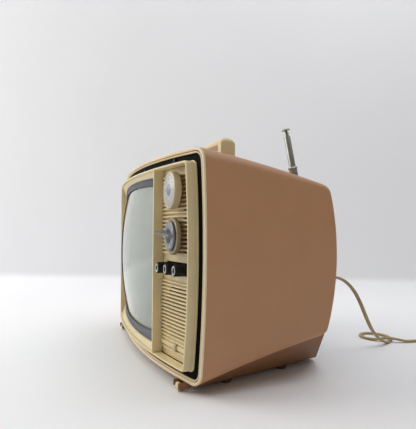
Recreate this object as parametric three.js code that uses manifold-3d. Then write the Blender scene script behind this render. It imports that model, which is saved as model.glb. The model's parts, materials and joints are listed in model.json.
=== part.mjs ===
// Portable tube television: a painted sleeve cabinet with a bowed front, a moulded bezel holding the picture
// tube and a louvred control column, a wedge base on feet, a carrying handle, a pull-up rod aerial and a mains
// lead. Millimetres. The model is drawn with +X to the right as seen from the front, +Y to the back, +Z up and
// the origin in the middle of the front lip; the last group moves the origin to the bottom centre.
import * as THREE from "three";
import { mergeVertices } from "three/addons/utils/BufferGeometryUtils.js";
import Module from "manifold-3d";

const wasm = await Module();
wasm.setup();

// ---- driving dimensions ----
const CASE = { halfWidth: 178, halfHeight: 125, radius: 15.5, sideBulge: 6.2, topBulge: 2.3, wall: 3.7 };
const FRONT_BOW = 22; // how far the middle of the front stands ahead of its corners
const CASE_DEPTH = 162;
const TOP_FALL = { slope: 0.127, curve: 0.000326 }; // the roof falls towards the back
const FLOOR_RISE = { slope: 0.287, curve: 0.0003 }; // and the underside climbs
const REAR_EDGE = { middle: 171, dish: 10, corner: 6 }; // the rear edge seen from the side
const FLOOR_Z = -135;
const GAP = 0.4; // between pieces that touch
const BEZEL = { halfWidth: 162, halfHeight: 111, radius: 7, wall: 2.5, proud: 8.75, back: 2.4 };
const DIVIDER = { left: 85.5, right: 88.5 };
const PANEL = { left: 89, right: 159, top: 107.8, front: 4, thickness: 2, ridge: 2.2 };
const SCREEN = { x: -34.5, halfWidth: 119.5, halfHeight: 102, radius: 20, crown: 3 };
const TUBE = { x: -35, halfWidth: 122, halfHeight: 100, corner: 8, circle: 110, front: -26.5, faceRadius: 450 };
const NECK = { radius: 14.5, end: 198 };
const CUP = { radius: 31, end: 222 };
const COVER = { halfWidth: 128, halfHeight: 64, back: 190, wall: 2.5, inset: CASE.wall + GAP };
const BASE = { bottom: -130, front: -12, back: 193, wall: 3.5, topHalf: 162, frontHalf: 158, backHalf: 119 };
const DECK = -76; // top of the chassis tray
const SPEAKER = { x: 126, z: -54, reach: 31 };
const UPPER_RIDGES = { first: 105.2, last: 13, pitch: 4.6 };
const LOWER_RIDGES = { first: -20, last: -84, pitch: 4.2 };
const RIDGE_HEIGHT = 2.4;
const UHF = { x: 129.4, z: 82, radius: 20.5, front: -19.2, back: -12.4 };
const VHF = { x: 128.7, z: 31.7, radius: 20.5, disc: 16.6, front: -20, ring: -17.2, back: -12.4 };
const FIN = { tip: -33.5, halfLength: 15.5, thickness: 2.6, z: 33.6 };
const TUNER_FRONT = 8;
const KNOB = { xs: [107, 127.2, 146.1], z: -5, radius: 6.3, proud: 12.75, gap: 3 };
const POT = { radius: 8, front: 10, back: 22 };
const SHAFT_RADIUS = 3;
const BADGE = { left: 90, right: 158, bottom: -101, top: -87, thickness: 2.4 };
const HANDLE = { halfLength: 80, leg: 15, front: 65, back: 86, under: 151.5, top: 158 };
const MAST = { x: 145, y: 132.6, z: 108.5, lean: THREE.MathUtils.degToRad(13.8) };
const FEET = [[140, 47], [124, 133]];
const FOOT = { top: 8, bottom: 6.5 };
const TILT = { left: 140, right: 149, y: -11, z: -129.2, leg: 3, barrel: 2.4, pin: 1.2 };
const CORD = { width: 6, thick: 3.4, x: 112, z: -24, relief: 32 };
const COIL = { x: 141, y: 430, radius: 30.7, halfWidth: 12.4, height: 7.4 };
const PLUG = { x: 141, y: 463, length: 30, width: 20, height: 13 };

const COLOURS = {
  paint: 0xb98e6c, cream: 0xdccba4, khaki: 0xc8b98c, black: 0x0c0b0a, glass: 0xa9b2a8, steel: 0x9a9a98,
  silver: 0xb4b2ac, brown: 0x5e4430, board: 0x8a6a3c, copper: 0x9c5a34, lead: 0xb9a57c, grey: 0x82828c,
};

// ---- small helpers ----
const X_AXIS = new THREE.Vector3(1, 0, 0);
const Y_AXIS = new THREE.Vector3(0, 1, 0);
const Z_AXIS = new THREE.Vector3(0, 0, 1);
const mix = THREE.MathUtils.lerp;
const bow = (x) => -FRONT_BOW * (1 - (x / CASE.halfWidth) ** 2);
const roofAt = (y) => CASE.halfHeight - TOP_FALL.slope * y - TOP_FALL.curve * y * y;
const undersideAt = (y) => -CASE.halfHeight + FLOOR_RISE.slope * y - FLOOR_RISE.curve * y * y;
const rearEdgeAt = (h) => REAR_EDGE.middle - REAR_EDGE.dish * h * h - REAR_EDGE.corner * h ** 16;
const faceAt = (x, z) => TUBE.front + ((x - TUBE.x) ** 2 + z * z) / (2 * TUBE.faceRadius);

function warp(geometry, move) {
  const place = geometry.getAttribute("position");
  const v = new THREE.Vector3();
  for (let i = 0; i < place.count; i++) {
    v.fromBufferAttribute(place, i);
    move(v);
    place.setXYZ(i, v.x, v.y, v.z);
  }
  return geometry;
}

// A closed geometry as a manifold solid, turned to face outwards.
function solid(geometry) {
  const bare = geometry.index ? geometry.toNonIndexed() : geometry.clone();
  bare.deleteAttribute("normal");
  bare.deleteAttribute("uv");
  const merged = mergeVertices(bare, 1e-3);
  const build = (triVerts) =>
    new wasm.Manifold(
      new wasm.Mesh({ numProp: 3, vertProperties: merged.attributes.position.array, triVerts }),
    );
  const forwards = new Uint32Array(merged.index.array);
  const made = build(forwards);
  return made.volume() < 0 ? build(forwards.slice().reverse()) : made;
}

function geometryOf(made) {
  const mesh = made.getMesh();
  const geometry = new THREE.BufferGeometry();
  geometry.setAttribute("position", new THREE.BufferAttribute(mesh.vertProperties, 3));
  geometry.setIndex(new THREE.BufferAttribute(mesh.triVerts, 1));
  geometry.computeVertexNormals();
  return geometry;
}

const facingOut = (geometry) => geometryOf(solid(geometry));
const join = (...parts) => geometryOf(parts.map(solid).reduce((a, b) => a.add(b)));
const cut = (body, ...tools) => geometryOf(tools.map(solid).reduce((a, b) => a.subtract(b), solid(body)));

function box([x0, x1], [y0, y1], [z0, z1], steps = [1, 1, 1]) {
  const geometry = new THREE.BoxGeometry(x1 - x0, y1 - y0, z1 - z0, ...steps);
  return geometry.translate((x0 + x1) / 2, (y0 + y1) / 2, (z0 + z1) / 2);
}

// A cylinder along Y, from y0 to y1.
function discY(x, z, radius, y0, y1, sides = 20) {
  const geometry = new THREE.CylinderGeometry(radius, radius, y1 - y0, sides);
  return geometry.translate(x, (y0 + y1) / 2, z);
}

function postZ(x, y, bottomRadius, topRadius, z0, z1, sides = 14) {
  const geometry = new THREE.CylinderGeometry(topRadius, bottomRadius, z1 - z0, sides);
  return geometry.rotateX(Math.PI / 2).translate(x, y, (z0 + z1) / 2);
}

// A turned piece about an axis along Y through (x, z), from [radius, y] pairs.
function turnedY(x, z, profile, sides = 20) {
  const points = profile.map(([r, y]) => new THREE.Vector2(r, y));
  return facingOut(new THREE.LatheGeometry(points, sides).translate(x, 0, z));
}

// A rounded rectangle in X and Z whose sides bulge outwards, as points.
function outline({ halfWidth: a, halfHeight: b, radius: r, sideBulge = 0, topBulge = 0, x = 0, z = 0 }) {
  const ARC_STEPS = 3;
  const EDGE_STEPS = 6;
  const corners = [[a - r, b - r], [r - a, b - r], [r - a, r - b], [a - r, r - b]];
  const plain = [];
  corners.forEach(([cx, cz], i) => {
    for (let k = 0; k <= ARC_STEPS; k++) {
      const angle = (i + k / ARC_STEPS) * (Math.PI / 2);
      plain.push([cx + r * Math.cos(angle), cz + r * Math.sin(angle)]);
    }
    const [nx, nz] = corners[(i + 1) % corners.length];
    const next = ((i + 1) * Math.PI) / 2;
    const [ox, oz] = [r * Math.cos(next), r * Math.sin(next)];
    for (let k = 1; k < EDGE_STEPS; k++) {
      plain.push([mix(cx, nx, k / EDGE_STEPS) + ox, mix(cz, nz, k / EDGE_STEPS) + oz]);
    }
  });
  return plain.map(
    ([px, pz]) =>
      new THREE.Vector2(
        x + px * (1 + (sideBulge / a) * (1 - (pz / b) ** 2)),
        z + pz * (1 + (topBulge / b) * (1 - (px / a) ** 2)),
      ),
  );
}

// A frame between two outlines with the same number of points, from y = 0 to y = 1 for a later warp: a turned
// ring whose every vertex is moved onto its outline.
function unitFrame(outer, inner, steps = 1) {
  const profile = [];
  for (let k = 0; k <= steps; k++) profile.push([outer, k / steps]);
  for (let k = steps; k >= 0; k--) profile.push([inner, k / steps]);
  profile.push([outer, 0]);
  const points = profile.map(([ring, y]) => new THREE.Vector2(ring === outer ? 2 : 1, y));
  const geometry = new THREE.LatheGeometry(points, outer.length);
  const place = geometry.getAttribute("position");
  for (let i = 0; i < place.count; i++) {
    const [ring, y] = profile[i % profile.length];
    const corner = ring[Math.floor(i / profile.length) % outer.length];
    place.setXYZ(i, corner.x, y, corner.y);
  }
  return geometry;
}

// Extrudes an outline in X and Z from y = 0 to y = 1 for a later warp.
function unitPlate(outer, steps) {
  const shape = new THREE.Shape(outer);
  const geometry = new THREE.ExtrudeGeometry(shape, { depth: 1, steps, bevelEnabled: false });
  return geometry.rotateX(Math.PI / 2).translate(0, 1, 0);
}

const inset = (size, by) => ({
  ...size,
  halfWidth: size.halfWidth - by,
  halfHeight: size.halfHeight - by,
  radius: Math.max(size.radius - by, 1),
});

// A frame that follows the bow of the front, between two distances behind it.
const bowedFrame = (outer, inner, front, back) =>
  facingOut(warp(unitFrame(outer, inner), (v) => (v.y = bow(v.x) + mix(front, back, v.y))));

// Bends a straight sleeve (y from 0 to 1) into the tapering cabinet.
function toCase(v) {
  const h = v.z / CASE.halfHeight;
  const depth = v.y * CASE_DEPTH;
  const [top, bottom] = [roofAt(depth), undersideAt(depth)];
  v.z = (top + bottom) / 2 + (h * (top - bottom)) / 2;
  v.y = mix(bow(v.x), rearEdgeAt(Math.min(Math.abs(h), 1)), v.y);
}

// A lining of the cabinet's mouth, between two distances behind the lip.
const linedFrame = (outer, inner, front, back) =>
  facingOut(
    warp(unitFrame(outer, inner), (v) => {
      const reach = rearEdgeAt(Math.abs(v.z) / CASE.halfHeight) - bow(v.x);
      v.y = mix(front, back, v.y) / reach;
      toCase(v);
    }),
  );

const roofHeight = (x, y) => roofAt(y) + CASE.topBulge * (1 - (x / CASE.halfWidth) ** 2);

// Places a piece that was turned about Y along the leaning mast, its y = 0 at the foot of the mast.
const alongMast = (geometry) =>
  geometry.rotateX(Math.PI / 2 + MAST.lean).translate(MAST.x, MAST.y, MAST.z);

// ---- cabinet ----
function cabinetShell() {
  const SLEEVE_STEPS = 7;
  const sleeve = unitFrame(outline(CASE), outline(inset(CASE, CASE.wall)), SLEEVE_STEPS);
  const mastHole = alongMast(turnedY(0, 0, [[0, -30], [5.4, -30], [5.4, 20], [0, 20]], 14));
  return cut(warp(sleeve, toCase), mastHole);
}

function frontTrim() {
  return linedFrame(outline(inset(CASE, 4.5)), outline(inset(CASE, 6.9)), 0.3, 2.4);
}

function maskFrame() {
  const inner = {
    ...CASE,
    halfWidth: BEZEL.halfWidth - 1.5,
    halfHeight: BEZEL.halfHeight - 1.7,
    radius: 1.5,
    topBulge: 0,
  };
  return linedFrame(outline(inset(CASE, CASE.wall + GAP)), outline(inner), 3.3, 5.3);
}

function frontBezel() {
  const outer = { ...BEZEL, sideBulge: CASE.sideBulge };
  const shroud = bowedFrame(outline(outer), outline(inset(outer, BEZEL.wall)), -BEZEL.proud, BEZEL.back);
  const reach = BEZEL.halfHeight - BEZEL.wall + 0.4;
  const middle = bow((DIVIDER.left + DIVIDER.right) / 2);
  const divider = box(
    [DIVIDER.left, DIVIDER.right],
    [middle - BEZEL.proud, middle + BEZEL.back],
    [-reach, reach],
  );
  // The plate round the screen lies just ahead of the glass.
  const left = -BEZEL.halfWidth - 1;
  const right = DIVIDER.right - 0.5;
  const frame = { halfWidth: (right - left) / 2, halfHeight: reach, radius: 2, x: (right + left) / 2 };
  const opening = { ...inset(SCREEN, -0.6), topBulge: SCREEN.crown };
  const surround = warp(unitFrame(outline(frame), outline(opening)), (v) => {
    v.y = Math.min(faceAt(v.x, v.z) - 2, bow(v.x) - 1) - 1.4 * (1 - v.y);
  });
  return join(shroud, divider, surround);
}

function screenGasket() {
  const outer = { ...SCREEN, topBulge: SCREEN.crown };
  const inner = { ...inset(outer, 8), topBulge: SCREEN.crown * 2, halfWidth: SCREEN.halfWidth - 4 };
  return facingOut(
    warp(unitFrame(outline(outer), outline(inner)), (v) => (v.y = faceAt(v.x, v.z) - 1 - 2.2 * (1 - v.y))),
  );
}

// ---- control column ----
function controlPanel() {
  const profile = [[PANEL.thickness, PANEL.top], [0, PANEL.top]];
  for (const band of [UPPER_RIDGES, LOWER_RIDGES]) {
    for (let z = band.first; z > band.last; z -= band.pitch) {
      profile.push([0, z], [-PANEL.ridge, z], [-PANEL.ridge, z - RIDGE_HEIGHT], [0, z - RIDGE_HEIGHT]);
    }
  }
  profile.push([0, -PANEL.top], [PANEL.thickness, -PANEL.top]);
  const shape = new THREE.Shape(profile.map(([y, z]) => new THREE.Vector2(y, z)));
  const depth = PANEL.right - PANEL.left;
  const plate = new THREE.ExtrudeGeometry(shape, { depth, steps: 2, bevelEnabled: false });
  plate.applyMatrix4(new THREE.Matrix4().makeBasis(Y_AXIS, Z_AXIS, X_AXIS)).translate(PANEL.left, 0, 0);
  const bowed = warp(plate, (v) => (v.y += bow(v.x) + PANEL.front));
  const hubHoles = [UHF, VHF].map((dial) => discY(dial.x, dial.z, 9.5, -30, 10, 16));
  const knobHoles = KNOB.xs.map((x) => discY(x, KNOB.z, 4, -30, 10, 10));
  // Slots between the lower ridges let the speaker out; shorter towards the ends of its round outline.
  const slots = [];
  for (let z = LOWER_RIDGES.first; z > LOWER_RIDGES.last + 6; z -= 2 * LOWER_RIDGES.pitch) {
    const slotZ = z - RIDGE_HEIGHT - 0.9;
    const half = Math.sqrt(Math.max(SPEAKER.reach ** 2 - (slotZ - SPEAKER.z) ** 2, 0));
    if (half > 10) {
      const reach = [SPEAKER.x - half, Math.min(SPEAKER.x + half, PANEL.right - 4)];
      slots.push(box(reach, [-30, 10], [slotZ - 0.8, slotZ + 0.8]));
    }
  }
  return cut(bowed, ...hubHoles, ...knobHoles, ...slots);
}

function uhfDial() {
  const { x, z, radius, front, back } = UHF;
  return turnedY(x, z, [
    [9.2, front + 5], [9.2, front], [radius - 1.5, front], [radius, front + 1], [radius, back],
    [8, back], [8, 6], [4.5, 6], [4.5, front + 5], [9.2, front + 5],
  ], 28);
}

function uhfKnob() {
  const { x, z, front } = UHF;
  return turnedY(x, z, [
    [0, front + 0.6], [4, front - 0.4], [6.6, front - 3.4], [8.5, front - 3], [8.6, front + 4.6],
    [0, front + 4.6],
  ]);
}

const shaft = (x, z, front, back) => discY(x, z, SHAFT_RADIUS, front, back, 10);

function vhfFineRing() {
  const { x, z, radius, ring, back } = VHF;
  return turnedY(x, z, [
    [4.5, ring], [radius - 1.5, ring], [radius, ring + 1], [radius, back], [8, back], [8, 6], [4.5, 6],
    [4.5, ring],
  ], 28);
}

function vhfDial() {
  const { x, z, disc, front, ring } = VHF;
  const back = ring - GAP;
  const plate = turnedY(
    x, z, [[0, front], [disc - 0.6, front], [disc, front + 0.6], [disc, back], [0, back]], 28,
  );
  // The pointer is a flat blade across the disc, standing out to a blunt nose.
  const nose = new THREE.Shape();
  nose.moveTo(x + FIN.halfLength, front + 0.5);
  nose.lineTo(x + FIN.halfLength - 3, front - 4);
  nose.lineTo(x - 6, FIN.tip + 2);
  nose.quadraticCurveTo(x - 11, FIN.tip - 1, x - FIN.halfLength + 1, FIN.tip + 5);
  nose.lineTo(x - FIN.halfLength, front + 0.5);
  const settings = { depth: FIN.thickness, bevelEnabled: false, curveSegments: 4 };
  const blade = new THREE.ExtrudeGeometry(nose, settings);
  blade.translate(0, 0, FIN.z - FIN.thickness / 2);
  return join(plate, blade);
}

function controlKnob(x) {
  const front = bow(x) - KNOB.proud;
  const back = bow(x) + PANEL.front - KNOB.gap;
  return turnedY(x, KNOB.z, [
    [0, front + 0.8], [3.4, front + 0.8], [4, front], [5.6, front], [KNOB.radius, front + 0.8],
    [KNOB.radius, back], [0, back],
  ], 16);
}

const knobShaft = (x) => shaft(x, KNOB.z, bow(x) + PANEL.front - KNOB.gap + 0.3, POT.front - 0.3);
const potentiometer = (x) => discY(x, KNOB.z, POT.radius, POT.front, POT.back, 14);

function controlBracket() {
  const plate = box([97, 158], [7.8, 9.4], [-14.5, 4.5]);
  return cut(plate, ...KNOB.xs.map((x) => discY(x, KNOB.z, 3.8, 5, 12, 10)));
}

function badgeBar() {
  const { left, right, bottom, top, thickness } = BADGE;
  const bar = box([left, right], [-thickness - GAP, -GAP], [bottom, top], [2, 1, 1]);
  return warp(bar, (v) => (v.y += mixBow(v.x) + PANEL.front));
}

// The panel bows in two straight halves, and the badge bar follows them.
function mixBow(x) {
  const middle = (PANEL.left + PANEL.right) / 2;
  const end = x < middle ? PANEL.left : PANEL.right;
  return mix(bow(middle), bow(end), (x - middle) / (end - middle));
}

// ---- picture tube ----
function pictureTube() {
  // Rings as [share of the faceplate's size, distance back]; the front three lie on the face itself.
  const neck = NECK.radius / TUBE.circle;
  const FACE = 0;
  const rings = [
    [0, FACE], [0.4, FACE], [0.75, FACE], [1, FACE], [1, 24], [0.86, 45], [0.66, 65], [0.42, 85], [0.24, 100],
    [neck, 115], [neck, NECK.end], [0, NECK.end],
  ];
  const funnel = new THREE.LatheGeometry(rings.map(([r, y]) => new THREE.Vector2(r, y)), 32);
  return facingOut(
    warp(funnel, (v) => {
      const share = Math.hypot(v.x, v.z);
      const [c, s] = share ? [v.x / share, v.z / share] : [0, 0];
      const n = TUBE.corner;
      const sum = Math.abs(c / TUBE.halfWidth) ** n + Math.abs(s / TUBE.halfHeight) ** n;
      const square = share ? sum ** (-1 / n) : 0;
      const squareness = THREE.MathUtils.clamp((95 - v.y) / 60, 0, 1);
      const size = share * mix(TUBE.circle, square, squareness);
      v.x = TUBE.x + c * size;
      v.z = s * size;
      if (v.y === FACE) v.y = faceAt(v.x, v.z);
    }),
  );
}

function tubeBand() {
  const outer = { halfWidth: 126, halfHeight: 104, radius: 26, x: TUBE.x };
  const band = unitFrame(outline(outer), outline(inset(outer, 1.6)));
  return facingOut(warp(band, (v) => (v.y = mix(2.5, 20, v.y))));
}

function deflectionYoke() {
  return turnedY(TUBE.x, 0, [
    [51, 86], [62, 88], [62, 94], [46, 108], [40, 128], [19, 128], [19, 111], [31, 99], [51, 86],
  ], 24);
}

const tubeSocket = () => discY(TUBE.x, 0, 17, NECK.end + GAP, NECK.end + 13, 16);

// ---- inside ----
function mainChassis() {
  const [front, back, floor, lip, sheet] = [74, 148, -78, -68, 1.6];
  const section = [
    [front, floor], [back, floor], [back, lip], [back - sheet, lip], [back - sheet, floor + sheet],
    [front + sheet, floor + sheet], [front + sheet, lip], [front, lip],
  ];
  const shape = new THREE.Shape(section.map(([y, z]) => new THREE.Vector2(y, z)));
  const tray = new THREE.ExtrudeGeometry(shape, { depth: 300, bevelEnabled: false });
  return tray.applyMatrix4(new THREE.Matrix4().makeBasis(Y_AXIS, Z_AXIS, X_AXIS)).translate(-150, 0, 0);
}

const circuitBoard = () => box([-148, 20], [78, 144], [DECK + 6, DECK + 7.6]);

function valve(x, y, height) {
  const foot = DECK + 8;
  const points = [[0, 0], [9, 0], [9, 5], [8, 6], [8, height - 6], [5, height - 1], [0, height + 3]];
  const glass = new THREE.LatheGeometry(points.map(([r, h]) => new THREE.Vector2(r, h)), 10);
  return facingOut(glass.rotateX(Math.PI / 2).translate(x, y, foot));
}

function flyback() {
  const core = box([34, 66], [100, 138], [DECK + 1, DECK + 9]);
  const coil = discX(50, 119, DECK + 24, 17, 26);
  return join(core, coil);
}

function discX(x, y, z, radius, length) {
  const geometry = new THREE.CylinderGeometry(radius, radius, length, 18);
  return geometry.rotateZ(Math.PI / 2).translate(x, y, z);
}

function powerTransformer() {
  const core = box([98, 148], [96, 138], [DECK + 1, DECK + 45]);
  const winding = box([106, 140], [89, 145], [DECK + 8, DECK + 38]);
  return join(core, winding);
}

const filterCapacitor = () => postZ(82, 118, 12.5, 12.5, DECK + 1, DECK + 62, 16);

function tuner(x, z, depth, height) {
  return box([x - 25, x + 27], [TUNER_FRONT, TUNER_FRONT + depth], [z - height / 2, z + height / 2]);
}

function speaker() {
  return turnedY(SPEAKER.x, SPEAKER.z, [
    [0, 12], [9, 14], [27, 5], [30, 3], [33, 3], [33, 6], [29, 9], [15, 20], [15, 34], [0, 34],
  ], 24);
}

// ---- back, base and feet ----
// A dished cover: its rim sits inside the cabinet's rear edge and its middle is a flat face.
function dish(shrink, rimDepth) {
  const body = unitPlate(outline(inset(CASE, shrink)), 4);
  return warp(body, (v) => {
    const t = v.y;
    const h = v.z / CASE.halfHeight;
    const [top, bottom] = [roofAt(CASE_DEPTH), undersideAt(CASE_DEPTH)];
    const rimZ = (top + bottom) / 2 + (h * (top - bottom)) / 2;
    const ease = t * t * (3 - 2 * t);
    v.x *= mix(1, COVER.halfWidth / CASE.halfWidth, ease);
    v.z = mix(rimZ, (v.z * COVER.halfHeight) / CASE.halfHeight, ease);
    v.y = mix(rearEdgeAt(Math.min(Math.abs(h), 1)) - rimDepth, COVER.back - shrink + COVER.inset, t);
  });
}

function rearCover() {
  const cup = (shrink, start) => discY(TUBE.x, 0, CUP.radius - shrink, start, CUP.end - shrink, 24);
  const outer = join(dish(COVER.inset, 8), cup(0, COVER.back - 20));
  const hollow = join(dish(COVER.inset + COVER.wall, 16), cup(COVER.wall, 120));
  return cut(outer, hollow);
}

const aerialTerminals = () => box([58, 98], [COVER.back + 0.8, COVER.back + 4.5], [8, 26]);

// The wedge under the cabinet: its top follows the rising underside, its foot narrows towards the back.
function wedge(margin, lift) {
  const half = 100;
  const block = box([-half, half], [0, 1], [0, 1], [4, 8, 1]);
  return warp(block, (v) => {
    const across = v.x / half;
    const top = v.z > 0.5;
    const back = top ? REAR_EDGE.middle - REAR_EDGE.dish - 4 : BASE.back;
    const y = mix((top ? 0 : BASE.front) + margin, back - margin, v.y);
    const halfWidth = (top ? BASE.topHalf : mix(BASE.frontHalf, BASE.backHalf, v.y)) - margin;
    v.x = across * halfWidth;
    const under = undersideAt(Math.max(y, 0)) - CASE.topBulge * (1 - (v.x / CASE.halfWidth) ** 2);
    v.z = top ? under - 0.8 + lift : BASE.bottom + margin * (lift ? 0.7 : 0);
    v.y = y;
  });
}

function basePlinth() {
  const hinges = [-1, 1].map((side) => (side * (TILT.left + TILT.right)) / 2);
  const boss = (x) => box([x - 9, x + 9], [BASE.front + GAP, 6], [BASE.bottom, -126.6]);
  const bosses = hinges.map(boss);
  const bearings = hinges.flatMap((x) => [
    box([x - 6.2, x + 6.2], [-20, 1], [-140, -120]),
    discX(x, TILT.y, TILT.z, TILT.pin + GAP, 16),
  ]);
  const tub = cut(wedge(0, 0), wedge(BASE.wall, 2));
  return cut(join(tub, ...bosses), ...bearings);
}

const footPad = (x, y) => postZ(x, y, FOOT.bottom, FOOT.top, FLOOR_Z, BASE.bottom - GAP, 16);

function tiltFoot(side) {
  const middle = side * (TILT.left + TILT.right) * 0.5;
  const half = (TILT.right - TILT.left) / 2;
  const leg = box([middle - half, middle + half], [TILT.y - TILT.leg, TILT.y], [FLOOR_Z + 0.5, TILT.z + 1]);
  const barrel = discX(middle, TILT.y, TILT.z, TILT.barrel, 2 * half);
  const pin = discX(middle, TILT.y, TILT.z, TILT.pin, 2 * half + 5);
  return join(leg, barrel, pin);
}

// ---- handle ----
function carryingHandle() {
  const { halfLength: a, leg, front, back, under, top } = HANDLE;
  const foot = 100;
  const shape = new THREE.Shape();
  shape.moveTo(-a, foot);
  shape.lineTo(-a, top - 6);
  shape.quadraticCurveTo(-a, top, -a + 7, top);
  shape.lineTo(a - 7, top);
  shape.quadraticCurveTo(a, top, a, top - 6);
  shape.lineTo(a, foot);
  shape.lineTo(a - leg, foot);
  shape.lineTo(a - leg, under - 6);
  shape.quadraticCurveTo(a - leg, under, a - leg - 6, under);
  shape.lineTo(-a + leg + 6, under);
  shape.quadraticCurveTo(-a + leg, under, -a + leg, under - 6);
  shape.lineTo(-a + leg, foot);
  const settings = { depth: back - front, bevelEnabled: false, curveSegments: 3 };
  const grip = new THREE.ExtrudeGeometry(shape, settings);
  grip.rotateX(Math.PI / 2).translate(0, back, 0);
  return facingOut(warp(grip, (v) => (v.z = v.z === foot ? roofHeight(v.x, v.y) + 1 : v.z)));
}

// ---- aerial: nested tubes on a leaning axis; distances run up the mast from its foot ----
const tube = (inner, outer, low, high) =>
  alongMast(turnedY(0, 0, [[inner, low], [outer, low], [outer, high], [inner, high], [inner, low]], 12));

const aerialSleeve = () =>
  alongMast(turnedY(0, 0, [[0, -112], [4.6, -112], [4.6, -10], [3.8, -10], [3.8, -110], [0, -110]], 12));

function aerialCollar() {
  const FOOT_Z = 90;
  const ring = postZ(MAST.x, MAST.y + 0.5, 8, 7.4, FOOT_Z, 116, 18);
  warp(ring, (v) => (v.z = v.z < FOOT_Z + 1 ? roofHeight(v.x, v.y) + GAP + 0.4 : v.z));
  return cut(ring, alongMast(turnedY(0, 0, [[0, -30], [4, -30], [4, 20], [0, 20]], 14)));
}

const aerialRod = () =>
  alongMast(
    turnedY(0, 0, [[0, -45], [1.4, -45], [1.4, 51.2], [5, 51.2], [5, 53], [3.5, 53.7], [0, 53.7]], 12),
  );

// ---- mains lead ----
// The lead leaves the relief, sags to the floor and wanders off to its coil. Chosen by hand, [x, y, z].
const LEAD_Z = FLOOR_Z + CORD.thick / 2 + 0.2;
const LEAD_ROUTE = [
  [112, 222.4, -24], [112, 234, -25.5], [111.4, 250, -33], [109.6, 266, -47], [106.8, 281, -66],
  [103.6, 295, -87], [100.6, 309, -106], [97.8, 324, -120], [94, 341, -129.5], [88, 358, LEAD_Z],
  [78, 373, LEAD_Z], [62, 382, LEAD_Z], [44, 378, LEAD_Z], [34, 363, LEAD_Z], [40, 347, LEAD_Z],
  [56, 340, LEAD_Z], [71, 346, LEAD_Z + 0.6], [79, 355, LEAD_Z + 2.6], [86, 364, LEAD_Z + 4.1],
  [93, 373, LEAD_Z + 2.6], [99, 383, LEAD_Z + 0.6], [103.4, 391, LEAD_Z], [106.3, 400, LEAD_Z],
];

function mainsLead() {
  const points = LEAD_ROUTE.map((p) => new THREE.Vector3(...p));
  const route = new THREE.CatmullRomCurve3(points, false, "centripetal");
  const SIDES = 8;
  const section = new THREE.Shape();
  for (let i = 0; i < SIDES; i++) {
    const angle = ((i + 0.5) / SIDES) * Math.PI * 2;
    const point = [(CORD.thick / 2) * Math.cos(angle), (CORD.thick / 2) * Math.sin(angle)];
    if (i) section.lineTo(...point);
    else section.moveTo(...point);
  }
  const geometry = new THREE.ExtrudeGeometry(section, { steps: 44, extrudePath: route, bevelEnabled: false });
  return facingOut(geometry);
}

function leadCoil() {
  const { x, y, radius, halfWidth, height } = COIL;
  const low = FLOOR_Z + 0.2;
  const top = low + height;
  const [inner, outer] = [radius - halfWidth, radius + halfWidth];
  const profile = [
    [inner, low + 2], [inner + 2, low], [outer - 2, low], [outer, low + 2], [outer, top - 3],
    [outer - 3, top], [inner + 3, top], [inner, top - 3], [inner, low + 2],
  ];
  const ring = new THREE.LatheGeometry(profile.map(([r, h]) => new THREE.Vector2(r, h)), 24);
  return facingOut(ring.rotateX(Math.PI / 2).translate(x, y, 0));
}

function cordRelief() {
  const start = COVER.back + 2 * GAP;
  const end = COVER.back + CORD.relief;
  return turnedY(CORD.x, CORD.z, [
    [0, start], [8, start], [8, start + 3], [6, start + 4], [4, end], [0, end],
  ], 14);
}

function mainsPlug() {
  const { x, y, length, width, height } = PLUG;
  const low = FLOOR_Z + COIL.height + 0.6;
  const end = x + length / 2;
  const body = box([x - length / 2, end], [y - width / 2, y + width / 2], [low, low + height]);
  const blade = (middle) => box([end - 1, end + 16], [middle - 0.8, middle + 0.8], [low + 4, low + 9.5]);
  return join(body, blade(y - 6.3), blade(y + 6.3));
}

// ---- the scene graph ----
const model = new THREE.Group();

function add(name, colour, geometry, roughness = 0.6, metalness = 0) {
  const material = new THREE.MeshStandardMaterial({ color: COLOURS[colour], roughness, metalness });
  const mesh = new THREE.Mesh(geometry, material);
  mesh.name = name;
  model.add(mesh);
}

add("cabinet_shell", "paint", cabinetShell(), 0.55);
add("front_trim", "cream", frontTrim(), 0.4);
add("mask_frame", "black", maskFrame(), 0.7);
add("front_bezel", "cream", frontBezel(), 0.4);
add("screen_gasket", "grey", screenGasket(), 0.7);
add("control_panel", "khaki", controlPanel(), 0.45);
add("badge_bar", "cream", badgeBar(), 0.4);

add("uhf_dial", "silver", uhfDial(), 0.4);
add("uhf_tuning_knob", "steel", uhfKnob(), 0.3, 0.8);
add("uhf_shaft", "steel", shaft(UHF.x, UHF.z, UHF.front + 4.9, TUNER_FRONT - 0.3), 0.35, 0.9);
add("vhf_fine_ring", "khaki", vhfFineRing(), 0.45);
add("vhf_dial", "silver", vhfDial(), 0.35, 0.6);
add("vhf_shaft", "steel", shaft(VHF.x, VHF.z, VHF.ring - 0.1, TUNER_FRONT - 0.3), 0.35, 0.9);
["volume", "brightness", "contrast"].forEach((use, i) => {
  add(use + "_knob", "black", controlKnob(KNOB.xs[i]), 0.4);
  add(use + "_shaft", "steel", knobShaft(KNOB.xs[i]), 0.35, 0.9);
  add(use + "_control", "steel", potentiometer(KNOB.xs[i]), 0.5, 0.7);
});
add("control_bracket", "steel", controlBracket(), 0.5, 0.8);

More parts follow.
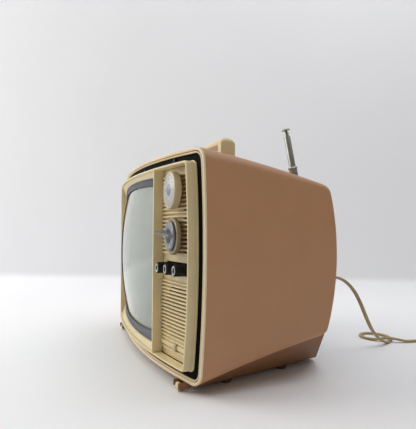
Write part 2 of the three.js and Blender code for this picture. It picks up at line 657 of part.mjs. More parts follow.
add("picture_tube", "glass", pictureTube(), 0.12);
add("tube_band", "steel", tubeBand(), 0.5, 0.8);
add("deflection_yoke", "copper", deflectionYoke(), 0.6);
add("tube_socket", "brown", tubeSocket(), 0.6);
add("main_chassis", "steel", mainChassis(), 0.5, 0.8);
add("circuit_board", "board", circuitBoard(), 0.6);
add("video_valve", "glass", valve(-138, 92, 46), 0.1);
add("sound_valve", "glass", valve(-138, 124, 44), 0.1);
add("line_valve", "glass", valve(-112, 92, 52), 0.1);
add("damper_valve", "glass", valve(-112, 124, 50), 0.1);
add("flyback_transformer", "copper", flyback(), 0.6);
add("power_transformer", "steel", powerTransformer(), 0.6, 0.5);
add("filter_capacitor", "silver", filterCapacitor(), 0.4, 0.8);
add("vhf_tuner", "steel", tuner(VHF.x, VHF.z, 64, 42), 0.4, 0.8);
add("uhf_tuner", "steel", tuner(UHF.x, UHF.z, 44, 42), 0.4, 0.8);
add("speaker", "black", speaker(), 0.7);

add("rear_cover", "brown", rearCover(), 0.6);
add("aerial_terminals", "brown", aerialTerminals(), 0.5);
add("base_plinth", "brown", basePlinth(), 0.6);
for (const side of [-1, 1]) {
  const hand = side < 0 ? "left" : "right";
  add("front_foot_" + hand, "brown", footPad(side * FEET[0][0], FEET[0][1]), 0.8);
  add("rear_foot_" + hand, "brown", footPad(side * FEET[1][0], FEET[1][1]), 0.8);
  add("tilt_foot_" + hand, "cream", tiltFoot(side), 0.5);
}
add("carrying_handle", "cream", carryingHandle(), 0.45);

add("aerial_collar", "cream", aerialCollar(), 0.4);
add("aerial_sleeve", "steel", aerialSleeve(), 0.3, 0.9);
add("aerial_mast_lower", "silver", tube(2.7, 3.4, -60, 45), 0.2, 1);
add("aerial_mast_upper", "silver", tube(1.7, 2.4, -52, 50), 0.2, 1);
add("aerial_rod", "silver", aerialRod(), 0.2, 1);

add("cord_relief", "lead", cordRelief(), 0.5);
add("mains_cord", "lead", mainsLead(), 0.5);
add("cord_coil", "lead", leadCoil(), 0.5);
add("mains_plug", "lead", mainsPlug(), 0.5);

model.position.set(0, -(FIN.tip + CUP.end) / 2, -FLOOR_Z);
const group = new THREE.Group();
group.add(model);

export default group;
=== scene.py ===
"""Looks of a portable tube television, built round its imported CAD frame.

Lengths are millimetres in the lip frame: origin in the middle of the front lip, +X towards the control
column, +Y to the back, +Z up. place() turns them into metres in the row frame.
"""

import json
import math

import bmesh
import bpy
import numpy as np
from mathutils import Matrix, Vector


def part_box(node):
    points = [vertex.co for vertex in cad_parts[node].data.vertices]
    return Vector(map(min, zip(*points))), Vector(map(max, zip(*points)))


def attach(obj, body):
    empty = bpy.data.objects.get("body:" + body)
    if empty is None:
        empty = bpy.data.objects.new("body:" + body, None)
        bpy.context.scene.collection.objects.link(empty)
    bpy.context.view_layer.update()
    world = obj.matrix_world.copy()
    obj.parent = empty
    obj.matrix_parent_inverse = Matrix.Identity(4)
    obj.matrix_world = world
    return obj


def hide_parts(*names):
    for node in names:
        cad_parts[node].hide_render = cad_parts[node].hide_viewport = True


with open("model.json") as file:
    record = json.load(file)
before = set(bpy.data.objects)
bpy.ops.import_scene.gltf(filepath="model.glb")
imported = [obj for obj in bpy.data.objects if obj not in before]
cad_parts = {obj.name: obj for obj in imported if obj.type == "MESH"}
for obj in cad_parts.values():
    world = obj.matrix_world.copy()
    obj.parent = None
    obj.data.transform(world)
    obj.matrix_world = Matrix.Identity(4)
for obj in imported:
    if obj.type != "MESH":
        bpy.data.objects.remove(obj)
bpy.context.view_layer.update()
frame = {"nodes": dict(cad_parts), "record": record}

# ---- driving dimensions ----
MM = 0.001
CASE = {"half_width": 178.0, "half_height": 125.0, "radius": 15.5, "side_bulge": 6.2, "top_bulge": 2.3}
CASE_WALL = 3.7
CASE_DEPTH = 162.0
FRONT_BOW = 22.0
BEZEL = {"half_width": 162.0, "half_height": 111.0, "radius": 5.0, "side_bulge": 6.2}
BEZEL_WALL = 2.5
BEZEL_PROUD = 8.75
SURROUND_SLOPE = 5.0
SCREEN = {"half_width": 119.5, "half_height": 100.8, "radius": 20.0, "top_bulge": 3.0, "x": -34.5}
TUBE = {"x": -35.0, "half_width": 122.0, "half_height": 100.0, "front": -26.5, "face_radius": 450.0}
RIDGE = {"proud": 2.5, "height": 2.3}
UPPER_RIDGES = {"first": 100.6, "last": 13.0, "pitch": 4.6}
LOWER_RIDGES = {"first": -20.0, "last": -84.0, "pitch": 4.2}
SPEAKER = {"x": 126.0, "z": -54.0, "reach": 31.0}
MAST = {"foot": (145.0, 132.6, 108.5), "lean": math.radians(13.8)}
COVER = {"half_width": 128.0, "half_height": 64.0, "back": 190.0, "wall": 2.5, "inset": 4.1}
CUP_RADIUS = 31.0
PANEL_BEHIND = 4.0
KNOB_WELL_HALF = 7.4
FIN_Z = 33.6
ON_ROOF = -999.0  # stands for the roof's own height in the handle's outline
TILT_HINGE = (-11.0, -129.2)
BASE = {
    "bottom": -130.0, "front": -2.0, "top_back": 171.0, "back": 193.0,
    "top_half": 162.0, "front_half": 158.0, "back_half": 119.0,
}
LEAD = {"width": 6.0, "thick": 3.4, "length": 1700.0}
COIL = {"x": 141.0, "y": 430.0, "outer": 40.0, "pitch": 6.2, "turns": 3, "per_turn": 20}
FLOOR_Z = -135.0

CAMERA = {
    "position": (557.5, -159.0, 39.6),
    "azimuth": math.radians(66.45),
    "pitch": math.radians(1.49),
    "roll": math.radians(0.77),
    "lens": 35.24,
    "shift_y": 0.0613,
    "wall_distance": 1405.0,
}


def origin_of_lip():
    """Where the lip frame's origin is in the row frame, in millimetres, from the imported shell."""
    low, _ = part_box("cabinet_shell")
    bottom = CASE["half_height"] + CASE["top_bulge"]
    return np.array([0.0, low.y / MM + FRONT_BOW, low.z / MM + bottom])


ORIGIN = origin_of_lip()


def place(points):
    return (np.asarray(points, float) + ORIGIN) * MM


def span(node):
    """Lowest and highest corner of a CAD node in the lip frame."""
    low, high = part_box(node)
    return np.array(low) / MM - ORIGIN, np.array(high) / MM - ORIGIN


def middle(node):
    low, high = span(node)
    return (low + high) / 2


def add_object(name, data):
    made = bpy.data.objects.new(name, data)
    bpy.context.scene.collection.objects.link(made)
    return made


# ---- camera ----
def make_camera():
    a, e, r = CAMERA["azimuth"], CAMERA["pitch"], CAMERA["roll"]
    forward = Vector((-math.sin(a), math.cos(a), 0))
    right = Vector((math.cos(a), math.sin(a), 0))
    up = Vector((0, 0, 1))
    look = forward * math.cos(e) - up * math.sin(e)
    above = up * math.cos(e) + forward * math.sin(e)
    side = right * math.cos(r) + above * math.sin(r)
    top = above * math.cos(r) - right * math.sin(r)
    data = bpy.data.cameras.new("camera")
    data.sensor_fit = "HORIZONTAL"
    data.sensor_width = 36.0
    data.lens = CAMERA["lens"]
    data.shift_y = CAMERA["shift_y"]
    camera = add_object("camera", data)
    axes = Matrix((side, top, -look)).transposed().to_4x4()
    camera.matrix_world = Matrix.Translation(place(CAMERA["position"])) @ axes
    bpy.context.scene.camera = camera
    return forward, right


FORWARD, RIGHT = make_camera()


# ---- materials ----
def add_node(tree, kind, **settings):
    node = tree.nodes.new(kind)
    for key, value in settings.items():
        target = node.inputs[key] if key in node.inputs else None
        if target is None:
            setattr(node, key, value)
        else:
            target.default_value = value
    return node


def surface(name, colour, roughness, metallic=0.0, mottle=0.08, mottle_size=12.0, grain=0.0, grain_size=0.8,
            cells=False, streaks=False, coat=0.0, specular=0.5):
    """A procedural material: mottled colour, uneven gloss, and a grain raised by `grain` millimetres."""
    made = bpy.data.materials.new(name)
    made.use_nodes = True
    tree = made.node_tree
    shader = tree.nodes["Principled BSDF"]
    shader.inputs["Metallic"].default_value = metallic
    shader.inputs["Coat Weight"].default_value = coat
    shader.inputs["Coat Roughness"].default_value = 0.06
    shader.inputs["Specular IOR Level"].default_value = specular
    where = add_node(tree, "ShaderNodeTexCoord").outputs["Object"]
    if streaks:
        stretch = add_node(tree, "ShaderNodeMapping")
        stretch.inputs["Scale"].default_value = (1.0, 0.04, 1.0)
        tree.links.new(where, stretch.inputs["Vector"])
        where = stretch.outputs["Vector"]

    def noise(size, detail):
        made_noise = add_node(tree, "ShaderNodeTexNoise", Scale=1000.0 / size, Detail=detail)
        tree.links.new(where, made_noise.inputs["Vector"])
        return made_noise.outputs["Fac"]

    broad = noise(mottle_size, 5.0)
    ramp = add_node(tree, "ShaderNodeValToRGB")
    ramp.color_ramp.elements[0].position = 0.3
    ramp.color_ramp.elements[1].position = 0.7
    ramp.color_ramp.elements[0].color = [*(c * (1 - mottle) for c in colour), 1]
    ramp.color_ramp.elements[1].color = [*(min(c * (1 + mottle), 1) for c in colour), 1]
    tree.links.new(broad, ramp.inputs["Fac"])
    tree.links.new(ramp.outputs["Color"], shader.inputs["Base Color"])
    gloss = add_node(tree, "ShaderNodeMapRange")
    gloss.inputs["To Min"].default_value = max(roughness - 0.06, 0.02)
    gloss.inputs["To Max"].default_value = roughness + 0.08
    tree.links.new(noise(mottle_size * 0.6, 6.0), gloss.inputs["Value"])
    tree.links.new(gloss.outputs["Result"], shader.inputs["Roughness"])
    if grain:
        if cells:
            scale = 1000.0 / grain_size
            pebbles = add_node(tree, "ShaderNodeTexVoronoi", feature="DISTANCE_TO_EDGE", Scale=scale)
            tree.links.new(where, pebbles.inputs["Vector"])
            height = pebbles.outputs["Distance"]
        else:
            height = noise(grain_size, 3.0)
        bump = add_node(tree, "ShaderNodeBump", Strength=0.6, Distance=grain * MM)
        tree.links.new(height, bump.inputs["Height"])
        tree.links.new(bump.outputs["Normal"], shader.inputs["Normal"])
    return made


MATERIALS = {
    "paint": surface("grained_paint", (0.50, 0.256, 0.125), 0.5, mottle=0.035, mottle_size=60, grain=0.22,
                     grain_size=1.6, cells=True),
    "cream": surface("cream_plastic", (0.755, 0.62, 0.355), 0.36, mottle=0.05, mottle_size=30, grain=0.015,
                     grain_size=0.7),
    "khaki": surface("ivory_plastic", (0.72, 0.58, 0.33), 0.38, mottle=0.06, mottle_size=25, grain=0.02),
    "black": surface("black_plastic", (0.006, 0.006, 0.006), 0.6, mottle=0.2, mottle_size=15, grain=0.03,
                     specular=0.3),
    "glass": surface("tube_glass", (0.25, 0.29, 0.245), 0.07, mottle=0.02, mottle_size=90, coat=0.6,
                     grain=0.002, grain_size=3.0),
    "clear": surface("valve_glass", (0.20, 0.21, 0.20), 0.08, mottle=0.1, coat=1.0, grain=0.004),
    "steel": surface("zinc_steel", (0.46, 0.46, 0.45), 0.38, 0.9, mottle=0.12, mottle_size=6, grain=0.006),
    "silver": surface("spun_aluminium", (0.50, 0.485, 0.45), 0.45, 0.35, mottle=0.05, mottle_size=9,
                      grain=0.01, grain_size=0.5),
    "chrome": surface("aged_chrome", (0.37, 0.365, 0.325), 0.42, 1.0, mottle=0.07, mottle_size=7,
                      grain=0.0006),
    "brown": surface("brown_plastic", (0.12, 0.068, 0.038), 0.5, mottle=0.1, mottle_size=35, grain=0.05,
                     grain_size=1.0, cells=True),
    # The plinth: the shell paint at about half its value, painted shade for the wedge that faces down towards
    # the floor.
    "base": surface("plinth_painted_shade", (0.255, 0.115, 0.046), 0.55, mottle=0.05, mottle_size=50, grain=0.18,
                    grain_size=1.6, cells=True),
    "board": surface("phenolic_board", (0.26, 0.13, 0.05), 0.45, mottle=0.15, mottle_size=8, grain=0.02),
    "copper": surface("enamelled_copper", (0.45, 0.15, 0.06), 0.35, 0.6, mottle=0.15, mottle_size=4,
                      grain=0.2, grain_size=0.9, streaks=True),
    "lead": surface("lead_vinyl", (0.42, 0.30, 0.14), 0.42, mottle_size=20, grain=0.02),
    "grey": surface("gasket_rubber", (0.095, 0.098, 0.11), 0.55, mottle=0.06, mottle_size=18, grain=0.04),
    "foot": surface("foot_rubber", (0.09, 0.05, 0.03), 0.75, mottle=0.12, mottle_size=9, grain=0.05),
    "skirt": surface("gilt_skirt", (0.56, 0.46, 0.30), 0.4, 0.25, mottle_size=6, grain=0.02),
    "centre": surface("blued_centre", (0.235, 0.25, 0.275), 0.38, 0.3, mottle_size=6, grain=0.01),
    # Floors between the panel ridges: the ridge plastic made darker and more golden, painted shade for the
    # recesses.
    "groove_shade": surface("groove_painted_shade", (0.52, 0.38, 0.17), 0.45, mottle_size=18, grain=0.02),
    # Near-black and barely specular: painted shadow for the gap round the bezel and painted shade in the knob
    # well.
    "dark": surface("mask_painted_shadow", (0.004, 0.004, 0.005), 0.75, mottle=0.2, grain=0.02, specular=0.08),
    # The VHF ring's skirt: the gilt skirt colour made darker and browner, painted shade for its place out of
    # the light.
    "shaded_skirt": surface("skirt_painted_shade", (0.34, 0.27, 0.17), 0.42, 0.3, mottle=0.12, mottle_size=4, grain=0.02),
    "disc": surface("worn_disc", (0.21, 0.215, 0.235), 0.4, 0.3, mottle_size=6, grain=0.01),
    "bright": surface("bright_ring", (0.52, 0.52, 0.51), 0.3, 0.7, mottle=0.05, mottle_size=6, grain=0.005),
    "print": surface("white_print", (0.80, 0.80, 0.78), 0.5, mottle=0.05, mottle_size=6, grain=0.005),
    # Near-black for the selector's hub, also used as painted shade for the holes in the neck cup.
    "ink_and_hole_shade": surface("dark_ink_and_hole_shade", (0.05, 0.05, 0.05), 0.6, mottle=0.1, grain=0.005),
    # The lip band is the shell's own paint made lighter and yellower: painted light for the front edge that
    # faces the lamp.
    "lip": surface("lip_painted_highlight", (0.80, 0.655, 0.44), 0.42, mottle=0.04, mottle_size=40, grain=0.02),
}
NODE_LOOKS = {"glass": "clear"}


def dress_cad_nodes():
    """Gives every CAD node the material of its record slot; most are then replaced by finer pieces."""
    slots = {part["node"]: part["material_slot"] for part in frame["record"]["subparts"]}
    for name, node in frame["nodes"].items():
        look = slots[name]
        node.data.materials.clear()
        node.data.materials.append(MATERIALS[NODE_LOOKS.get(look, look)])


# ---- meshes: a shape is (points in the lip frame, faces) ----
def combine(*shapes):
    points, faces = [], []
    for some_points, some_faces in shapes:
        start = sum(len(p) for p in points)
        points.append(np.asarray(some_points, float).reshape(-1, 3))
        faces += [tuple(i + start for i in face) for face in some_faces]
    return np.vstack(points), faces


def piece(name, body, parts, stands_for=(), angle=35.0, bevel=0.0, segments=3):
    """A piece made of (shape, material name) parts, riding on a body."""
    mesh = bpy.data.meshes.new(name)
    shapes = [shape for shape, _ in parts]
    looks = list(dict.fromkeys(look for _, look in parts))
    points, faces = combine(*shapes)
    mesh.from_pydata(place(points).tolist(), [], faces)
    for look in looks:
        mesh.materials.append(MATERIALS[look])
    indices = [looks.index(look) for shape, look in parts for _ in shape[1]]
    mesh.polygons.foreach_set("material_index", indices)
    work = bmesh.new()
    work.from_mesh(mesh)
    bmesh.ops.remove_doubles(work, verts=work.verts, dist=1e-7)
    bmesh.ops.recalc_face_normals(work, faces=work.faces)
    work.to_mesh(mesh)
    work.free()
    mesh.shade_smooth()
    mesh.set_sharp_from_angle(angle=math.radians(angle))
    thing = add_object(name, mesh)
    if bevel:
        rounding = thing.modifiers.new("rounding", "BEVEL")
        rounding.width = bevel * MM
        rounding.segments = segments
        rounding.limit_method = "ANGLE"
        rounding.angle_limit = math.radians(angle)
        rounding.harden_normals = True
    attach(thing, body)
    if stands_for:
        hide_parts(*stands_for)
    return thing


def lofted(rows, around=True, along=False):
    """Quads between rows of points; `around` closes each row and `along` joins the last row to the first."""
    rows = np.asarray(rows, float)
    n, m, _ = rows.shape
    faces = []
    for i in range(n if along else n - 1):
        for j in range(m if around else m - 1):
            a, b = i * m + j, i * m + (j + 1) % m
            c, d = ((i + 1) % n) * m + (j + 1) % m, ((i + 1) % n) * m + j
            faces.append((a, b, c, d))
    if around and not along:
        faces.append(tuple(reversed(range(m))))
        faces.append(tuple(range((n - 1) * m, n * m)))
    return rows.reshape(-1, 3), faces


def outline(half_width, half_height, radius, side_bulge=0.0, top_bulge=0.0, x=0.0, z=0.0, arc=10, edge=26):
    """A rounded rectangle in X and Z whose sides bulge outwards, as points."""
    a, b, r = half_width, half_height, radius
    corners = [(a - r, b - r), (r - a, b - r), (r - a, r - b), (a - r, r - b)]
    plain = []
    for i, (cx, cz) in enumerate(corners):
        turn = (i + np.arange(arc + 1) / arc) * math.pi / 2
        plain += [(cx + r * math.cos(t), cz + r * math.sin(t)) for t in turn]
        nx, nz = corners[(i + 1) % 4]
        ox, oz = r * math.cos(turn[-1]), r * math.sin(turn[-1])
        plain += [(cx + (nx - cx) * k / edge + ox, cz + (nz - cz) * k / edge + oz) for k in range(1, edge)]
    p = np.array(plain)
    px, pz = p[:, 0], p[:, 1]
    return np.column_stack([
        x + px * (1 + side_bulge / a * (1 - (pz / b) ** 2)),
        z + pz * (1 + top_bulge / b * (1 - (px / a) ** 2)),
    ])


def inset(size, by):
    smaller = dict(size)
    smaller["half_width"] -= by
    smaller["half_height"] -= by
    smaller["radius"] = max(smaller["radius"] - by, 0.8)
    return smaller


def bow(x):
    return -FRONT_BOW * (1 - (x / CASE["half_width"]) ** 2)


def roof_at(y):
    return CASE["half_height"] - 0.127 * y - 0.000326 * y * y


def underside_at(y):
    return -CASE["half_height"] + 0.287 * y - 0.0003 * y * y


def rear_edge_at(h):
    return 168.0 - 9.0 * h**2 - 4.5 * h**20


def face_at(x, z):
    return TUBE["front"] + ((x - TUBE["x"]) ** 2 + z * z) / (2 * TUBE["face_radius"])


def roof_height(x, y):
    return roof_at(y) + CASE["top_bulge"] * (1 - (x / CASE["half_width"]) ** 2)


def to_case(ring, behind, share):
    """Outline points carried `behind` millimetres plus a share of the depth back along the sleeve."""
    x, z = ring[:, 0], ring[:, 1]
    h = z / CASE["half_height"]
    edge = np.minimum(np.abs(h), 1)
    reach = rear_edge_at(edge) - bow(x)
    t = behind / reach + share
    top, bottom = roof_at(t * CASE_DEPTH), underside_at(t * CASE_DEPTH)
    return np.column_stack([x, bow(x) + reach * t, (top + bottom) / 2 + h * (top - bottom) / 2])


def sleeve(size, section):
    """A closed frame that lines the sleeve, from (inset, behind, share) section points."""
    rows = [to_case(outline(**inset(size, d)), behind, share) for d, behind, share in section]
    return lofted(rows, True, True)


def bowed(size, section):
    """A closed frame that follows the bow of the front, from (inset, distance behind the lip) points."""
    rows = []
    for d, behind in section:
        ring = outline(**inset(size, d))
        rows.append(np.column_stack([ring[:, 0], bow(ring[:, 0]) + behind, ring[:, 1]]))
    return lofted(rows, True, True)


def turned(x, z, profile, sides=96, ridges=0, depth=0.0, from_radius=1e9):
    """A solid turned about an axis along Y; radii past from_radius are ridged."""
    angles = np.arange(sides) * 2 * math.pi / sides
    rows = []
    for r, y in profile:
        wave = depth * np.cos(ridges * angles) if r >= from_radius else 0.0
        radius = max(r, 0.02) + wave
        across, up = radius * np.cos(angles), radius * np.sin(angles)
        rows.append(np.column_stack([x + across, np.full(sides, y), z + up]))
    is_ring = tuple(profile[0]) == tuple(profile[-1])
    return lofted(rows[:-1] if is_ring else rows, True, is_ring)


def rounded_profile(points, radius=0.5, steps=3):
    """The inner corners of an open [radius, y] profile replaced by small arcs."""
    p = [np.array(q, float) for q in points]
    made = [p[0]]
    for before, corner, after in zip(p, p[1:], p[2:]):
        u, v = before - corner, after - corner
        reach = min(radius, np.linalg.norm(u) * 0.45, np.linalg.norm(v) * 0.45)
        a, b = corner + u / np.linalg.norm(u) * reach, corner + v / np.linalg.norm(v) * reach
        for k in range(steps + 1):
            t = k / steps
            made.append((1 - t) ** 2 * a + 2 * t * (1 - t) * corner + t * t * b)
    return made + [p[-1]]


def along_mast(shape):
    """A shape turned about Y through the origin, carried so that Y runs up the leaning mast."""
    points, faces = shape
    x, y, z = points.T
    c, s = math.cos(MAST["lean"]), math.sin(MAST["lean"])
    fx, fy, fz = MAST["foot"]
    return np.column_stack([fx + x, fy - y * s - z * c, fz + y * c - z * s]), faces


def slab(x_range, y_range, z_range):
    """A closed box."""
    work = bmesh.new()
    bmesh.ops.create_cube(work, size=1.0)
    low = np.array([x_range[0], y_range[0], z_range[0]])
    high = np.array([x_range[1], y_range[1], z_range[1]])
    work.verts.index_update()
    points = np.array([v.co for v in work.verts]) + 0.5
    faces = [tuple(v.index for v in f.verts) for f in work.faces]
    work.free()
    return low + points * (high - low), faces


def swept(path, section):
    """A closed bar along a path; section points are (across, up) in the path's own frame."""
    path = np.asarray(path, float)
    along = np.gradient(path, axis=0)
    along /= np.linalg.norm(along, axis=1)[:, None]
    rows = []
    for p, t in zip(path, along):
        across = np.cross(t, (0, 0, 1))
        across = across / np.linalg.norm(across)
        up = np.cross(across, t)
        rows.append([p + across * a + up * b for a, b in section])
    return lofted(rows)


def smooth_path(points, spacing):
    """A centripetal Catmull-Rom curve through the points, resampled at even spacing."""
    p = [np.array(q, float) for q in points]
    p = [2 * p[0] - p[1], *p, 2 * p[-1] - p[-2]]
    fine = []
    for p0, p1, p2, p3 in zip(p, p[1:], p[2:], p[3:]):
        t0 = 0.0
        t1 = t0 + np.linalg.norm(p1 - p0) ** 0.5
        t2 = t1 + np.linalg.norm(p2 - p1) ** 0.5
        t3 = t2 + np.linalg.norm(p3 - p2) ** 0.5
        for t in np.linspace(t1, t2, 24, endpoint=False):
            a1 = (t1 - t) / (t1 - t0) * p0 + (t - t0) / (t1 - t0) * p1
            a2 = (t2 - t) / (t2 - t1) * p1 + (t - t1) / (t2 - t1) * p2
            a3 = (t3 - t) / (t3 - t2) * p2 + (t - t2) / (t3 - t2) * p3
            b1 = (t2 - t) / (t2 - t0) * a1 + (t - t0) / (t2 - t0) * a2
            b2 = (t3 - t) / (t3 - t1) * a2 + (t - t1) / (t3 - t1) * a3
            fine.append((t2 - t) / (t2 - t1) * b1 + (t - t1) / (t2 - t1) * b2)
    fine = np.array([*fine, p[-2]])
    run = np.concatenate([[0], np.cumsum(np.linalg.norm(np.diff(fine, axis=0), axis=1))])
    even = np.linspace(0, run[-1], int(run[-1] / spacing) + 1)
    return np.column_stack([np.interp(even, run, fine[:, k]) for k in range(3)])


# ---- mains lead ----
LEAD_Z = FLOOR_Z + LEAD["thick"] / 2 + 0.1
# The lead leaves the relief, sags to the floor and makes one small loop before its coil.
LEAD_ROUTE = [
    (112, 222.4, -24), (112, 234, -25.5), (111.4, 250, -33), (109.6, 266, -47), (106.8, 281, -66),
    (103.6, 295, -87), (100.6, 309, -106), (97.8, 324, -120), (94, 341, -129.5), (88, 358, LEAD_Z),
    (78, 373, LEAD_Z), (62, 382, LEAD_Z), (44, 378, LEAD_Z), (34, 363, LEAD_Z), (40, 347, LEAD_Z),
    (56, 340, LEAD_Z), (71, 346, LEAD_Z + 0.8), (79, 355, LEAD_Z + 3.2), (86, 364, LEAD_Z + 4.4),
    (92, 373, LEAD_Z + 3.2), (96.5, 384, LEAD_Z + 0.8), (99, 397, LEAD_Z), (100.4, 413, LEAD_Z),
]


def coil_points(plug_entry):
    """Wound inwards on the floor, outwards again on top of those turns, then up into the back of the plug."""
    turns = COIL["turns"]
    rise = LEAD["thick"] + 0.5
    climb = 0.35
    points = []
    for k in range(int(COIL["per_turn"] * 2 * turns) + 1):
        turn = k / COIL["per_turn"]
        angle = math.pi - turn * 2 * math.pi
        radius = COIL["outer"] - COIL["pitch"] * min(turn, 2 * turns - turn)
        lift = min(max((turn - turns + climb) / (2 * climb), 0), 1)
        height = rise * lift * lift * (3 - 2 * lift)
        x, y = COIL["x"] + radius * math.cos(angle), COIL["y"] + radius * math.sin(angle)
        points.append((x, y, LEAD_Z + height))
    start, end = np.array(points[-1]), np.array(plug_entry)
    points.append(start + (end - start) * (0.12, 0.5, 0.3))
    points.append(start + (end - start) * (0.48, 0.87, 0.72))
    points.append(end - (5, 0.6, 0.6))
    points.append(end)
    return points


def flat_section():
    """The lead's section: two round cores side by side with a shallow valley between them."""
    half, round_radius = LEAD["width"] / 2, LEAD["thick"] / 2
    centre = half - round_radius
    turn = np.linspace(-math.pi / 2, math.pi / 2, 9)
    right = [(centre + round_radius * math.cos(t), round_radius * math.sin(t)) for t in turn]
    valley = round_radius * 0.72
    left = [(-x, -y) for x, y in right]
    return [*right, (0, valley), *left, (0, -valley)]


def make_lead():
    plug, plug_entry = mains_plug()
    path = smooth_path(LEAD_ROUTE + coil_points(plug_entry), 3.0)
    lead = piece(
        "mains_lead", "cabinet", [(swept(path, flat_section()), "lead")],
        ("mains_cord", "cord_coil"), angle=60,
    )


def mains_plug():
    """The moulded plug, lying on the coil with its blades towards +X, and where the lead enters it."""
    low, high = span("mains_plug")
    x, y, z = low[0], (low[1] + high[1]) / 2, (low[2] + high[2]) / 2
    length, blade = 30.0, 16.0
    stations = [(0, 0.42), (0.02, 0.5), (0.12, 0.56), (0.2, 0.72), (0.3, 0.92), (0.45, 1), (0.85, 1),
                (0.94, 0.97), (0.985, 0.9), (1, 0.82)]
    rows = []
    for share, scale in stations:
        ring = outline(10 * scale, 6.5 * scale, 4.2 * scale, arc=6, edge=3)
        rows.append(np.column_stack([np.full(len(ring), x + share * length), y + ring[:, 0], z + ring[:, 1]]))
    reach = (x + length - 1, x + length + blade)
    blades = [slab(reach, (y + s * 6.3 - 0.8, y + s * 6.3 + 0.8), (z - 2.7, z + 2.7)) for s in (-1, 1)]
    parts = [(lofted(rows), "lead"), (combine(*blades), "steel")]
    plug = piece("plug", "cabinet", parts, ("mains_plug",), 40, 0.4)
    return plug, (x + 1.0, y, z)


def cord_relief():
    low, high = span("cord_relief")
    x, _, z = middle("cord_relief")
    reach = high[1] - low[1]
    profile = [(0, low[1]), (8, low[1]), (8, low[1] + 3), (6, low[1] + 4)]
    for k in range(6):
        y = low[1] + 4 + (reach - 6) * k / 6
        radius = 6 - 2 * k / 6
        profile += [(radius, y + 0.5), (radius, y + 2.6), (radius - 1, y + 3), (radius - 1, y + 3.9)]
    profile += [(3.7, high[1]), (0, high[1])]
    piece("lead_relief", "cabinet", [(turned(x, z, profile, 40), "brown")], ("cord_relief",), 45)


# ---- cabinet ----
def shell():
    lip = [(0, 1.5), (0.12, 0.8), (0.45, 0.3), (1.0, 0.05), (1.85, 0), (2.7, 0.05), (3.25, 0.3), (3.58, 0.8),
           (CASE_WALL, 1.5)]
    outer = [(0, 0, s) for s in np.linspace(0.03, 0.985, 34)]
    rear = [(0.1, 0, 0.994), (0.5, 0, 0.999), (1.2, 0, 1), (2.6, 0, 1), (3.6, 0, 0.997)]
    inner = [(CASE_WALL, 0, s) for s in np.linspace(0.98, 0.05, 10)]
    front = [(d, behind, 0) for d, behind in reversed(lip)]
    body = sleeve(CASE, [front[-1], *outer, *rear, *inner, front[0]])
    # The lip band takes the lighter copy of the shell paint, painted light for the lit front edge.
    parts = [(open_seam(body), "paint"), (open_seam(sleeve(CASE, front)), "lip")]
    piece("sleeve_shell", "cabinet", parts, ("cabinet_shell",), 45)


def open_seam(shape):
    """The same closed frame without the last strip of faces, where another part of the section joins it."""
    points, faces = shape
    ring = len(outline(**CASE))
    return points, faces[:-ring]


def trim():
    section = [(4.5, 1.3, 0), (4.6, 0.9, 0), (4.9, 0.7, 0), (5.7, 0.7, 0), (6.0, 0.9, 0), (6.1, 1.3, 0),
               (6.1, 2.2, 0), (4.5, 2.2, 0)]
    piece("lip_trim", "cabinet", [(sleeve(CASE, section), "cream")], ("front_trim",), 45)


def mask():
    """The ledge between the lip and the bezel, near-black: painted shadow for the gap round the bezel."""
    outer = inset(CASE, 4.1)
    inner = {**CASE, "half_width": BEZEL["half_width"] - 1.5, "half_height": BEZEL["half_height"] - 1.7,
             "radius": 1.5, "top_bulge": 0.0}
    rows = [to_case(outline(**size), behind, 0) for size, behind in
            ((outer, 3.3), (outer, 5.3), (inner, 5.3), (inner, 3.3))]
    clips = []
    for x in (-96, 24, 118):
        z = CASE["half_height"] - 6.5
        clips.append(slab((x - 3, x + 3), (bow(x) + 1.4, bow(x) + 3.6), (z - 5, z)))
    piece("mask", "cabinet", [(lofted(rows, True, True), "dark"), (combine(*clips), "black")],
          ("mask_frame",), 35, 0.3)


def bezel():
    front = -BEZEL_PROUD
    section = [(-1.0, 2.4), (-1.0, 1.2), (0, 0.9), (0, front + 0.9), (0.2, front + 0.3), (0.7, front),
               (1.8, front), (2.3, front + 0.3), (BEZEL_WALL, front + 0.9), (BEZEL_WALL, 2.4)]
    shroud = bowed(BEZEL, section)
    low, high = 85.5, 88.5
    mid = bow((low + high) / 2)
    reach = BEZEL["half_height"] - BEZEL_WALL + 0.2
    divider = slab((low, high), (mid + front, mid + 4.6), (-reach, reach))
    piece("bezel_shroud", "cabinet", [(shroud, "cream")], ("front_bezel",), 45)
    piece("bezel_divider", "cabinet", [(divider, "cream")], (), 35, 0.6)
    piece("bezel_surround", "cabinet", [(surround(low), "cream")], (), 50)


def surround(divider_left):
    """The plate round the screen: it slopes from the shroud's walls in to the edge of the glass."""
    left = -BEZEL["half_width"] - 1.5
    right = divider_left + 0.5
    reach = BEZEL["half_height"] - BEZEL_WALL + 0.3
    half, centre = (right - left) / 2, (right + left) / 2
    frame_size = {"half_width": half, "half_height": reach, "radius": 2.0, "x": centre}
    opening = {**inset(SCREEN, -0.6), "top_bulge": SCREEN["top_bulge"]}
    outer, inner = outline(**frame_size), outline(**opening)
    rows = []
    for share, back in ((0, 0), (0.35, 0), (0.7, 0), (0.93, 0), (0.98, 0.25), (1, 0.9), (1, 3.0), (0, 3.0)):
        ring = outer + (inner - outer) * share
        x, z = ring[:, 0], ring[:, 1]
        y = surround_at(x, z)
        upright = np.clip((np.abs(z) - 96) / 8, 0, 1)
        y = y - SURROUND_SLOPE * upright * (1 - share) + back
        rows.append(np.column_stack([x, y, z]))
    return lofted(rows, True, True)


def surround_at(x, z):
    """How far back the plate round the screen lies: just ahead of the glass, but never behind the bezel."""
    return np.minimum(face_at(x, z) - 1.8, bow(x) + 1.2) - 1.4


